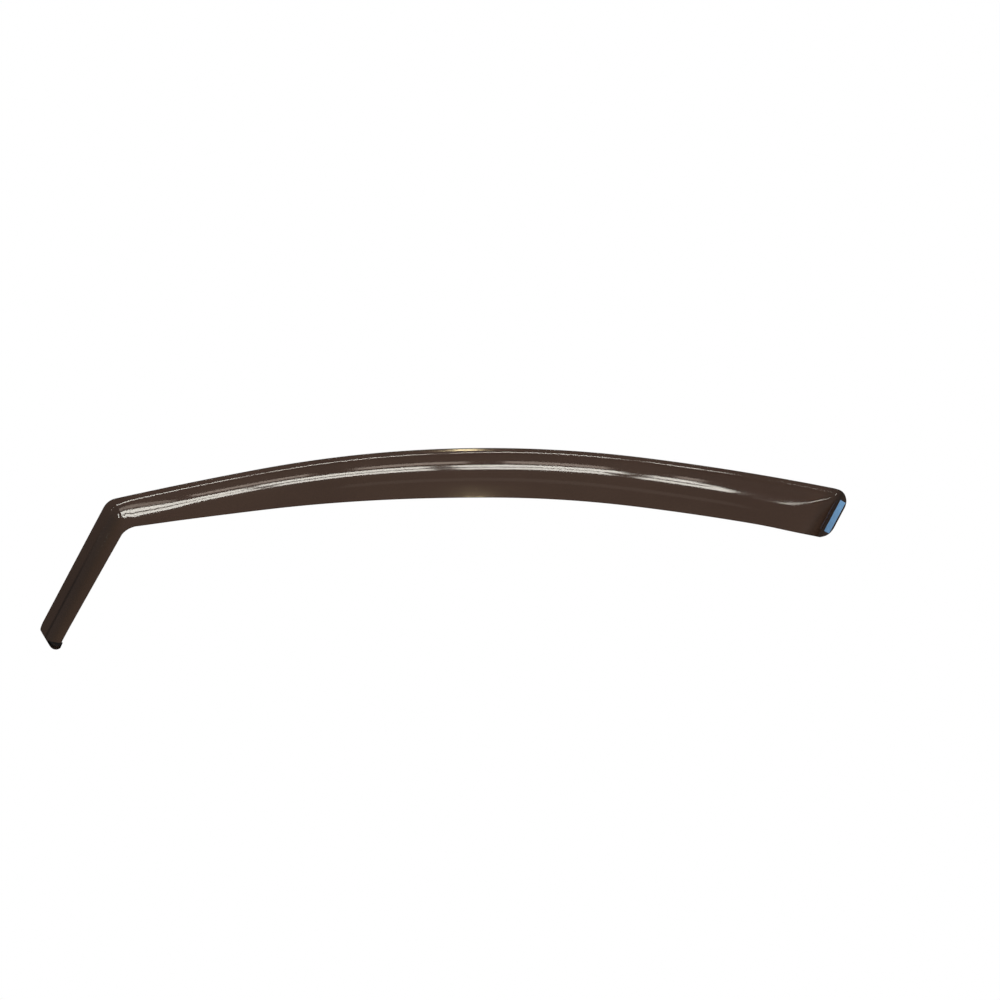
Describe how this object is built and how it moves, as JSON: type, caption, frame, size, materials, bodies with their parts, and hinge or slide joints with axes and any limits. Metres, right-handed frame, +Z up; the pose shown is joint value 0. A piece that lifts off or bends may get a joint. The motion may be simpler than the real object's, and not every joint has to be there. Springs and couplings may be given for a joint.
{
  "type": "window rain deflector",
  "caption": "Smoked visor for a car's front door window: a channel flange along the arched edge, a bulged shell below it, a narrow pillar leg, and a taped rear end.",
  "frame": {"origin": "on the outer face of the channel flange, at the highest point of its arched edge", "axes": "+X towards the rear of the car, -Y away from the car, +Z up"},
  "size_m": [0.9033, 0.0575, 0.226],
  "materials": {
    "smoked_acrylic": "polished, dark grey-brown smoke tint",
    "black_foam": "matt closed-cell foam",
    "blue_liner": "satin peel-off film"
  },
  "bodies": {
    "root": {"deflector_shield": "smoked_acrylic", "foam_tape": "black_foam", "release_liner": "blue_liner"}
  },
  "joints": []
}
